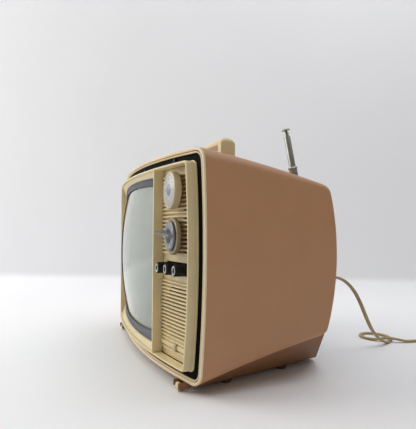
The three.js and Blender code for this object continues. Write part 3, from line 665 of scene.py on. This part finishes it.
def gasket():
    outer = dict(SCREEN)
    inner = inset(SCREEN, 9.5)
    inner["top_bulge"] = SCREEN["top_bulge"] * 2
    inner["half_width"] = SCREEN["half_width"] - 4
    a, b = outline(**outer), outline(**inner)
    rows = []
    lips = ((0, 2.2), (0.08, 2.2), (0.12, 1.5), (0.2, 1.3), (0.6, 1.5), (0.9, 2.0), (0.97, 1.9), (1, 1.3),
            (1, 0.9), (0, 0.9))
    for share, proud in lips:
        ring = a + (b - a) * share
        x, z = ring[:, 0], ring[:, 1]
        glass = face_at(x, z)
        start = np.minimum(surround_at(x, z) + 2.6, glass)
        rows.append(np.column_stack([x, start * (1 - share) + glass * share - proud, z]))
    piece("gasket", "cabinet", [(lofted(rows, True, True), "grey")], ("screen_gasket",), 40)


def tube():
    """The picture tube: its spherical faceplate, and the bulb narrowing to the neck behind it."""
    sides = 144
    angle = np.arange(sides) * 2 * math.pi / sides
    c, s = np.cos(angle), np.sin(angle)
    corner = 8
    squareness = (np.abs(c) / TUBE["half_width"]) ** corner + (np.abs(s) / TUBE["half_height"]) ** corner
    square = squareness ** (-1 / corner)
    rows = []

    def ring(share, y, circle=0.0):
        size = share * (square * (1 - circle) + 110.0 * circle)
        x, z = TUBE["x"] + c * size, s * size
        rows.append(np.column_stack([x, face_at(x, z) if y is None else np.full(sides, float(y)), z]))

    for share in np.linspace(0.002, 0.985, 26):
        ring(share, None)
    bulb = ((1, 12, 0), (1, 24, 0), (0.97, 32, 0.02), (0.86, 45, 0.1), (0.66, 65, 0.45), (0.42, 85, 0.85),
            (0.24, 100, 1), (0.132, 115, 1), (0.132, 198, 1), (0.01, 198, 1))
    for share, y, circle in bulb:
        ring(share, y, circle)
    piece("tube_bulb", "cabinet", [(lofted(rows), "glass")], ("picture_tube",), 50)


# ---- control column ----
def ridge_lines(band):
    count = int((band["first"] - band["last"]) / band["pitch"] - 1e-6) + 1
    return [band["first"] - k * band["pitch"] for k in range(count)]


def bar_across(x_low, x_high, behind, z_low, z_high, proud=0.0, radius=0.0):
    """A bar that follows the bow across the panel, its front corners rounded."""
    xs = np.linspace(x_low, x_high, 7)
    front, back = behind - proud, behind + 1.9
    r = radius
    section = [(back, z_low), (front + r, z_low), (front + 0.3 * r, z_low + 0.3 * r), (front, z_low + r),
               (front, z_high - r), (front + 0.3 * r, z_high - 0.3 * r), (front + r, z_high), (back, z_high)]
    return lofted([[(x, bow(x) + y, z) for y, z in section] for x in xs])


def panel():
    low, high = span("control_panel")
    left, right = low[0], high[0]
    top = high[2]
    dials = [(middle(n)[0], middle(n)[2], (span(n)[1][0] - span(n)[0][0]) / 2)
             for n in ("uhf_dial", "vhf_fine_ring")]
    ridges, grooves, plain = [], [], []

    def floor(into, z_low, z_high, slot=None):
        if slot is None:
            into.append(bar_across(left, right, PANEL_BEHIND, z_low, z_high))
            return
        into.append(bar_across(left, slot[0], PANEL_BEHIND, z_low, z_high))
        into.append(bar_across(slot[1], right, PANEL_BEHIND, z_low, z_high))

    def slot_at(z):
        for x, dial_z, radius in dials:
            if abs(z - dial_z) < radius + 3:
                return (x + 8, right - 2.2)
        half = math.sqrt(max(SPEAKER["reach"] ** 2 - (z - SPEAKER["z"]) ** 2, 0))
        return (SPEAKER["x"] - half, min(SPEAKER["x"] + half, right - 2.2)) if half > 10 else None

    for band in (UPPER_RIDGES, LOWER_RIDGES):
        lines = ridge_lines(band)
        for i, z in enumerate(lines):
            base = z - RIDGE["height"]
            ridges.append(bar_across(left + 0.6, right - 0.6, PANEL_BEHIND, base, z, RIDGE["proud"], 0.8))
            if i + 1 < len(lines):
                floor(grooves, lines[i + 1], base, slot_at((lines[i + 1] + base) / 2))
    last_upper = ridge_lines(UPPER_RIDGES)[-1] - RIDGE["height"]
    last_lower = ridge_lines(LOWER_RIDGES)[-1] - RIDGE["height"]
    knob_z = middle("volume_knob")[2]
    well = (knob_z - KNOB_WELL_HALF, knob_z + KNOB_WELL_HALF)
    top += 0.9
    floor(plain, UPPER_RIDGES["first"], top)
    floor(plain, well[1], last_upper)
    floor(plain, well[0], well[1], (97.5, 158.0))
    floor(plain, LOWER_RIDGES["first"], well[0])
    floor(plain, -top - 2.6, last_lower)
    # A near-black plate behind the knob well: painted shade for the dark recess round the knobs.
    well_shade_plate = bar_across(96, 158.6, PANEL_BEHIND + 1.6, well[0] - 1, well[1] + 1)
    # The floors between the ridges take the darker material, painted shade in the recesses.
    parts = [(combine(*ridges, *plain), "khaki"), (combine(*grooves), "groove_shade"), (well_shade_plate, "dark")]
    piece("panel", "cabinet", parts, ("control_panel",), 40)


def badge():
    low, high = span("badge_bar")
    left, right = low[0], high[0]
    mid = (low[2] + high[2]) / 2
    bar = bar_across(left + 0.4, right - 0.4, 4.0, mid - 2.6, mid + 2.6, 2.6, 1.0)
    ribs = [bar_across(left + 0.4, right - 0.4, 4.0, mid + side * 5.4 - 1.2, mid + side * 5.4 + 1.2, 2.2, 0.9)
            for side in (-1, 1)]
    x = (left + right) / 2 + 2
    y = bow(x) + 1.4
    button = rounded_profile([(0, y - 2.2), (3.4, y - 2.0), (4.4, y - 0.6), (4.6, y + 0.6), (0, y + 0.6)])
    boss = turned(x, mid, button, 48)
    piece("badge", "cabinet", [(combine(bar, *ribs), "cream"), (boss, "skirt")], ("badge_bar",), 40)


def uhf():
    x, _, z = middle("uhf_dial")
    low, high = span("uhf_dial")
    front, radius = low[1] - 1.2, (high[0] - low[0]) / 2
    back = front + 8.0
    profile = rounded_profile([
        (0, front + 0.5), (radius - 1.9, front + 0.5), (radius - 1.5, front), (radius - 0.6, front + 0.1),
        (radius, front + 1), (radius, back), (radius - 1, back), (0, back),
    ], 0.4)
    skirt = turned(x, z, profile, 288, 96, 0.16, radius - 0.4)
    face = [(0, front + 0.1), (radius - 2.6, front + 0.1), (radius - 2.2, front + 0.4), (0, front + 0.9)]
    disc = turned(x, z, face, 96)
    ticks = []
    for k in range(36):
        angle = math.radians(10 * k)
        length = 2.6 if k % 3 == 0 else 1.4
        ticks.append(tick(x, z, front + 0.02, radius - 3.4 - length, radius - 3.4, angle, 0.3))
    numerals = [numeral(str(14 + 10 * k), x, z, front + 0.02, radius - 8.6, math.radians(90 - 45 * k), 2.6)
                for k in range(8)]
    parts = [(skirt, "skirt"), (disc, "silver"), (combine(*ticks, *numerals), "steel")]
    piece("uhf_dial_skirt", "uhf_dial", parts, ("uhf_dial",), 50)
    low, high = span("uhf_tuning_knob")
    knob_radius = (high[0] - low[0]) / 2
    y = low[1] + 0.6
    knob = turned(x, z, rounded_profile([
        (0, y), (3, y + 0.3), (5.4, y + 0.9), (6.9, y + 1.7), (knob_radius - 0.3, y + 2.4),
        (knob_radius, y + 3.2), (knob_radius, y + 7), (0, y + 7),
    ], 0.6), 240, 40, 0.12, knob_radius - 0.2)
    piece("uhf_centre_knob", "uhf_knob", [(knob, "centre")], ("uhf_tuning_knob",), 50)


def tick(x, z, y, inner, outer, angle, half_width):
    """A thin raised mark pointing outwards from a dial's axis."""
    out = np.array([math.cos(angle), 0, math.sin(angle)])
    across = np.array([-math.sin(angle), 0, math.cos(angle)]) * half_width
    centre = np.array([x, 0, z])
    corners = [centre + out * inner - across, centre + out * inner + across, centre + out * outer + across,
               centre + out * outer - across]
    rows = [[(px, depth, pz) for px, _, pz in corners] for depth in (y - 0.12, y + 0.2)]
    return lofted(rows)


def numeral(text, x, z, y, radius, angle, height):
    """Raised figures standing upright round a dial, seen from the front."""
    curve = bpy.data.curves.new("figures", "FONT")
    curve.body = text
    curve.size = height
    curve.align_x = "CENTER"
    curve.align_y = "CENTER"
    curve.extrude = 0.12
    curve.resolution_u = 3
    maker = add_object("figures", curve)
    bpy.context.view_layer.update()
    mesh = bpy.data.meshes.new_from_object(maker.evaluated_get(bpy.context.evaluated_depsgraph_get()))
    points = np.array([v.co for v in mesh.vertices])
    faces = [tuple(f.vertices) for f in mesh.polygons]
    bpy.data.objects.remove(maker)
    bpy.data.meshes.remove(mesh)
    bpy.data.curves.remove(curve)
    cx, cz = x + radius * math.cos(angle), z + radius * math.sin(angle)
    return np.column_stack([cx + points[:, 0], y - points[:, 2], cz + points[:, 1]]), faces


def vhf():
    x, _, z = middle("vhf_fine_ring")
    low, high = span("vhf_fine_ring")
    front, radius = low[1], (high[0] - low[0]) / 2
    ring = turned(x, z, rounded_profile([
        (0, front + 0.6), (radius - 2.4, front + 0.6), (radius - 2.2, front), (radius - 1.2, front),
        (radius, front + 1.2), (radius, front + 4.8), (0, front + 4.8),
    ], 0.4), 288, 72, 0.2, radius - 0.5)
    # The skirt takes the darker skirt colour, painted shade.
    piece("vhf_ring_skirt", "vhf_ring", [(ring, "shaded_skirt")], ("vhf_fine_ring",), 50)
    low, high = span("vhf_dial")
    disc_radius = (high[2] - low[2]) / 2
    face = front - 2.8
    disc = turned(x, z, rounded_profile([
        (0, face), (disc_radius - 1.2, face), (disc_radius - 0.2, face + 0.5), (disc_radius, face + 1),
        (disc_radius, face + 2.4), (0, face + 2.4),
    ], 0.3), 128)
    figures = [numeral(str(n), x, z, face - 0.02, disc_radius - 3.4, math.radians(90 - 30 * (n - 1)), 4.4)
               for n in range(2, 14)]
    blade = fin(x, face, FIN_Z, low[1])
    hub = rounded_profile([(0, face - 0.7), (7.6, face - 0.7), (8.6, face + 0.1), (0, face + 0.1)], 0.3)
    boss = turned(x, z, hub, 72)
    parts = [(disc, "disc"), (combine(*figures), "print"), (blade, "disc"), (boss, "ink_and_hole_shade")]
    piece("vhf_selector_disc", "vhf_selector", parts, ("vhf_dial",), 40, 0.25, 2)


def fin(x, face, z, tip):
    """The selector's pointer: a flat blade across the disc that stands out to a blunt nose."""
    edge = [(15.5, face + 0.4), (12.5, face - 4)]
    edge += [(12.5 - 18.5 * k / 8, face - 4 - (face - 4 - tip - 2) * (k / 8) ** 1.3) for k in range(1, 9)]
    edge += [(-9, tip + 0.3), (-11.4, tip + 0.1), (-13.6, tip + 2.2), (-14.8, tip + 5.5), (-15.5, face + 0.4)]
    rows = []
    for level, shrink in ((-1, 0.9), (-0.85, 1), (0, 1), (0.85, 1), (1, 0.9)):
        row = []
        for ex, ey in edge:
            rooted = (ey - tip) / (face - tip)
            height = z - 0.15 * ex + level * (0.8 + 1.3 * rooted)
            row.append((x + ex * (0.96 + 0.04 * shrink), face + (ey - face) * shrink, height))
        rows.append(row)
    return lofted(rows)


def small_knob(name):
    x, _, z = middle(name)
    low, high = span(name)
    radius = (high[0] - low[0]) / 2
    front, back = low[1], high[1]
    body = turned(x, z, rounded_profile([
        (0, front + 1.4), (3.2, front + 1.4), (3.6, front + 0.5), (radius - 1.0, front + 0.4),
        (radius, front + 1.4), (radius, back), (0, back),
    ], 0.35), 192, 24, 0.16, radius - 0.2)
    ring = turned(x, z, [(3.5, front + 0.2), (3.7, front), (radius - 1.6, front), (radius - 1.4, front + 0.3),
                         (radius - 1.4, front + 1.2), (3.5, front + 1.2), (3.5, front + 0.2)], 64)
    pointer = tick(x, z, front + 1.35, 0.2, 2.8, math.pi / 2, 0.3)
    parts = [(body, "black"), (ring, "bright"), (pointer, "silver")]
    piece(name.replace("_knob", "_cap"), name.replace("_knob", ""), parts, (name,), 45)


# ---- handle and aerial ----
def handle():
    low, high = span("carrying_handle")
    a, top = high[0], high[2] + 2.0
    leg, under = 9.5, 151.0
    front, back = low[1] + 0.6, high[1]

    def arc(cx, cz, radius, start, end, steps=8):
        return [(cx + radius * math.cos(math.radians(t)), cz + radius * math.sin(math.radians(t)))
                for t in np.linspace(start, end, steps)]

    loop = [(-a, ON_ROOF)]
    loop += arc(-a + 7, top - 7, 7, 180, 90) + arc(a - 7, top - 7, 7, 90, 0)
    loop += [(a, ON_ROOF), (a - leg, ON_ROOF)]
    loop += arc(a - leg - 5, under - 5, 5, 0, 90) + arc(-a + leg + 5, under - 5, 5, 90, 180)
    loop += [(-a + leg, ON_ROOF)]
    rows = []
    half, mid = (back - front) / 2, (front + back) / 2
    for turn in np.linspace(-math.pi / 2, math.pi / 2, 21):
        y = mid + half * math.sin(turn)
        crown = 7.0 * (1 - math.cos(turn))
        row = []
        for x, z in loop:
            drop = crown * max(0, (z - under) / (top - under))
            height = roof_height(x, y) + 0.6 if z == ON_ROOF else z - drop
            row.append((x, y, height))
        rows.append(row)
    piece("handle", "cabinet", [(lofted(rows), "cream")], ("carrying_handle",), 40, 0.5)


def aerial():
    parts = {
        "aerial_lower_tube": ("aerial_lower", "aerial_mast_lower", 2.7, 3.9, -60, 45),
        "aerial_upper_tube": ("aerial_upper", "aerial_mast_upper", 1.7, 2.65, -52, 50),
    }
    for name, (body, node, inner, outer, low, high) in parts.items():
        profile = [(inner, low), (outer, low), (outer, high - 1.2), (outer - 0.25, high - 0.9),
                   (outer - 0.25, high - 0.5), (outer - 0.5, high), (inner, high), (inner, low)]
        piece(name, body, [(along_mast(turned(0, 0, profile, 48)), "chrome")], (node,), 40)
    rod = [(0, -45), (1.4, -45), (1.4, 51.0), (2.4, 51.1), (4.4, 51.4), (5, 51.8), (4.9, 52.7), (3.9, 53.4),
           (2, 53.7), (0, 53.7)]
    tip = along_mast(turned(0, 0, rod, 48))
    piece("aerial_tip_rod", "aerial_tip", [(tip, "chrome")], ("aerial_rod",), 50)
    ferrule = [(4.0, -4), (4.9, -4), (4.9, 5.4), (5.5, 5.8), (5.5, 7.0), (5.0, 7.4),
               (4.5, 8.4), (4.0, 8.4), (4.0, -4)]
    piece("aerial_ferrule", "cabinet", [(along_mast(turned(0, 0, ferrule, 48)), "chrome")],
          ("aerial_collar",), 40)


# ---- back ----
def dish(shrink, rim_depth, steps=16):
    """Rings of the dished cover, from its rim inside the cabinet's rear edge to its flat middle."""
    ring = outline(**inset(CASE, shrink))
    rows = []
    for t in np.linspace(0, 1, steps):
        ease = t * t * (3 - 2 * t)
        h = ring[:, 1] / CASE["half_height"]
        top, bottom = roof_at(CASE_DEPTH), underside_at(CASE_DEPTH)
        rim_z = (top + bottom) / 2 + h * (top - bottom) / 2
        x = ring[:, 0] * (1 - ease + ease * COVER["half_width"] / CASE["half_width"])
        z = rim_z * (1 - ease) + ease * ring[:, 1] * COVER["half_height"] / CASE["half_height"]
        rim_y = rear_edge_at(np.minimum(np.abs(h), 1)) - rim_depth
        y = rim_y * (1 - t) + t * (COVER["back"] - shrink + COVER["inset"])
        rows.append(np.column_stack([x, y, z]))
    return rows


def rear_cover():
    outer = dish(COVER["inset"], 8)
    inner = dish(COVER["inset"] + COVER["wall"], 16, 6)
    plate = lofted(outer)
    hollow = lofted(inner)
    cover = piece("back_cover", "cabinet", [(plate, "brown")], ("rear_cover",), 40)
    cutters = [hollow, *vents()]
    knife = bpy.data.meshes.new("vents")
    points, faces = combine(*cutters)
    knife.from_pydata(place(points).tolist(), [], faces)
    work = bmesh.new()
    work.from_mesh(knife)
    bmesh.ops.recalc_face_normals(work, faces=work.faces)
    work.to_mesh(knife)
    work.free()
    cutter = add_object("vents", knife)
    cutting = cover.modifiers.new("vents", "BOOLEAN")
    cutting.object = cutter
    cutting.solver = "EXACT"
    cutting.use_self = True
    bpy.context.view_layer.update()
    made = bpy.data.meshes.new_from_object(cover.evaluated_get(bpy.context.evaluated_depsgraph_get()))
    cover.modifiers.clear()
    cover.data = made
    made.set_sharp_from_angle(angle=math.radians(35))
    bpy.data.objects.remove(cutter)
    back_fittings()


def vents():
    """Slots across the flat middle of the cover, above and below the tube's cup."""
    slots = []
    back = COVER["back"]
    for row in range(9):
        z = 56 - row * 5.2
        if abs(z) > 34 or row < 4:
            slots.append(slab((-112, 44), (back - 12, back + 6), (z - 1.3, z + 1.3)))
    for row in range(8):
        z = -26 - row * 5.2
        slots.append(slab((-112, -72), (back - 12, back + 6), (z - 1.3, z + 1.3)))
        slots.append(slab((0, 44), (back - 12, back + 6), (z - 1.3, z + 1.3)))
    return slots


def back_fittings():
    """The cup over the tube's neck, the screws that hold the cover, and the aerial terminals."""
    x, back = TUBE["x"], COVER["back"]
    end = span("rear_cover")[1][1]
    cup = turned(x, 0, rounded_profile([
        (CUP_RADIUS - 3, back - 3), (CUP_RADIUS + 3, back - 1), (CUP_RADIUS + 1.2, back + 2.5),
        (CUP_RADIUS - 1, end - 5), (CUP_RADIUS - 4.5, end), (0, end),
    ], 2.0, 5), 120)
    # The holes in the cup's end are flat dark discs: painted shade for the openings.
    hole = [(0, end - 0.3), (2.1, end + 0.02), (0, end + 0.04)]
    holes = [turned(x + 17 * math.cos(t), 17 * math.sin(t), hole, 24) for t in np.arange(8) * math.pi / 4]
    piece("neck_cup", "cabinet", [(cup, "brown"), (combine(*holes), "ink_and_hole_shade")], (), 40)
    screws = [screw(sx, back + 0.1, sz) for sx in (-118, 118) for sz in (-54, 54)]
    screws.append(screw(0, back + 0.1, 60.3))
    piece("cover_screws", "cabinet", [(combine(*screws), "steel")], (), 40)
    low, high = span("aerial_terminals")
    block = slab((low[0], high[0]), (back - 0.5, high[1] - 1.2), (low[2], high[2]))
    posts = [screw(px, high[1] - 1.2, (low[2] + high[2]) / 2, 4.0)
             for px in np.linspace(low[0] + 7, high[0] - 7, 3)]
    piece("terminal_strip", "cabinet", [(block, "board"), (combine(*posts), "steel")],
          ("aerial_terminals",), 40, 0.4)


def screw(x, y, z, radius=3.2):
    """A round-headed screw with a slot, its head facing the back."""
    dome = [(radius, y - 0.4), (radius, y + 0.3), (radius * 0.86, y + 0.9), (radius * 0.5, y + 1.2),
            (0, y + 1.25)]
    head = turned(x, z, dome, 36)
    slot = slab((x - radius * 0.85, x + radius * 0.85), (y + 0.7, y + 1.32), (z - 0.35, z + 0.35))
    return combine(head, slot)


# ---- base and feet ----
def plinth():
    rows = []
    steps = 40
    for k in range(steps + 1):
        share = k / steps
        row = []
        for top in (True, False):
            back = BASE["top_back"] if top else BASE["back"]
            start = 0.0 if top else BASE["front"]
            y = start + share * (back - start)
            taper = share * (BASE["back_half"] - BASE["front_half"])
            half = BASE["top_half"] if top else BASE["front_half"] + taper
            across = np.linspace(-half, half, 21)
            if not top:
                across = across[::-1]
            for x in across:
                under = underside_at(max(y, 0)) - CASE["top_bulge"] * (1 - (x / CASE["half_width"]) ** 2)
                row.append((x, y, under - 0.5 if top else BASE["bottom"]))
        rows.append(row)
    body = lofted(rows)
    sockets = []
    for side in (-1, 1):
        x = middle("tilt_foot_right" if side > 0 else "tilt_foot_left")[0]
        for end in (-1, 1):
            sockets.append(slab((x + end * 7.6 - 1.3, x + end * 7.6 + 1.3), (-15.0, -1), (-131.8, -125.0)))
    # The plinth and its sockets take the darker copy of the shell paint, painted shade for the
    # downward-facing wedge.
    parts = [(body, "base"), (combine(*sockets), "base")]
    piece("plinth", "cabinet", parts, ("base_plinth",), 28, 1.0)


def feet():
    for name in ("front_foot_left", "front_foot_right", "rear_foot_left", "rear_foot_right"):
        low, high = span(name)
        x, y, _ = middle(name)
        radius = (high[0] - low[0]) / 2
        profile = rounded_profile([
            (0, low[2]), (radius - 2, low[2]), (radius - 1.2, low[2] + 0.6), (radius, high[2] + 0.4),
            (0, high[2] + 0.4),
        ], 0.5)
        turn = np.arange(48) * 2 * math.pi / 48
        rows = []
        for r, z in profile:
            reach = max(r, 0.02)
            rows.append(np.column_stack([x + reach * np.cos(turn), y + reach * np.sin(turn), np.full(48, z)]))
        piece(name + "_pad", "cabinet", [(lofted(rows), "foot")], (name,), 40)


def tilt_feet():
    for side in ("left", "right"):
        node = "tilt_foot_" + side
        low, high = span(node)
        x = middle(node)[0]
        half = 4.5
        hinge_y, hinge_z = TILT_HINGE
        leg = [(hinge_y - 2.9, hinge_z - 0.5), (hinge_y - 3.0, low[2] + 0.8), (hinge_y - 2.4, low[2]),
               (hinge_y - 0.6, low[2]), (hinge_y - 0.1, low[2] + 0.8)]
        eye = [(-2.4, 1.2), (-1.4, 2.1), (0, 2.4), (1.7, 1.7), (2.4, 0), (1.7, -1.7), (-0.1, -2.2)]
        side_view = [(hinge_y + dy, hinge_z + dz) for dy, dz in eye] + leg[::-1]
        places = (x - half, x - half / 3, x + half / 3, x + half)
        rows = [[(px, y, z) for y, z in side_view] for px in places]
        turn = np.arange(24) * math.pi / 12
        pin = lofted([[(px, hinge_y + 1.2 * math.cos(t), hinge_z + 1.2 * math.sin(t)) for t in turn]
                      for px in (low[0], high[0])])
        parts = [(lofted(rows), "cream"), (pin, "steel")]
        piece("tilt_leg_" + side, "tilt_" + side, parts, (node,), 40, 0.3, 2)


# ---- stage and light ----
def stage():
    """A pale floor that turns up into a wall square to the view."""
    here = Vector(place(CAMERA["position"]))
    here.z = 0
    wall = CAMERA["wall_distance"] * MM
    cove = 0.02
    profile = [(-5.0, 0.0), (wall - 0.6, 0.0), (wall - cove, 0.0)]
    profile += [(wall - cove + cove * math.sin(t), cove - cove * math.cos(t))
                for t in np.linspace(0.2, math.pi / 2, 8)]
    profile += [(wall, 1.0), (wall, 4.0)]
    points, faces = [], []
    sides = (-6.0, -1.0, 1.0, 6.0)
    for out, z in profile:
        for across in sides:
            spot = here + FORWARD * out + RIGHT * across
            points.append((spot.x, spot.y, z))
    n = len(sides)
    for i in range(len(profile) - 1):
        for j in range(n - 1):
            faces.append((i * n + j, i * n + j + 1, (i + 1) * n + j + 1, (i + 1) * n + j))
    mesh = bpy.data.meshes.new("studio")
    mesh.from_pydata(points, [], faces)
    mesh.materials.append(surface("studio_white", (0.90, 0.905, 0.925), 0.75, mottle=0.01, mottle_size=400))
    mesh.shade_smooth()
    studio = add_object("studio", mesh)


def area_light(name, position, target, size, power, colour=(1, 1, 1)):
    data = bpy.data.lights.new(name, "AREA")
    data.shape = "RECTANGLE"
    data.size, data.size_y = size
    data.energy = power
    data.color = colour
    light = add_object(name, data)
    light.location = position
    light.rotation_euler = (Vector(target) - Vector(position)).to_track_quat("-Z", "Y").to_euler()


def lights():
    centre = (0, 0, 0.12)
    area_light("window", (-1.0, -1.7, 1.15), centre, (1.6, 1.4), 31, (1.0, 0.985, 0.95))
    area_light("ceiling", (0.2, 0.0, 2.3), centre, (2.6, 2.6), 23, (0.97, 0.985, 1.0))
    area_light("side_fill", (2.4, 0.5, 0.9), centre, (1.8, 1.4), 1.4, (1.0, 0.82, 0.50))
    here = Vector(place(CAMERA["position"]))
    here.z = 0
    behind = here + FORWARD * CAMERA["wall_distance"] * MM
    wash = behind - FORWARD * 0.75 + RIGHT * 0.75 + Vector((0, 0, 1.7))
    area_light("wall_wash", tuple(wash), tuple(behind + RIGHT * 0.7 + Vector((0, 0, 0.2))), (1.2, 0.8), 5.5)
    world = bpy.data.worlds.new("studio_air")
    world.use_nodes = True
    world.node_tree.nodes["Background"].inputs["Color"].default_value = (0.97, 0.96, 0.96, 1)
    world.node_tree.nodes["Background"].inputs["Strength"].default_value = 0.16
    bpy.context.scene.world = world
    bpy.context.scene.view_settings.view_transform = "Standard"


dress_cad_nodes()
make_lead()
cord_relief()
shell()
trim()
mask()
bezel()
gasket()
tube()
panel()
badge()
uhf()
vhf()
for knob_name in ("volume_knob", "brightness_knob", "contrast_knob"):
    small_knob(knob_name)
handle()
aerial()
rear_cover()
plinth()
feet()
tilt_feet()
stage()
lights()
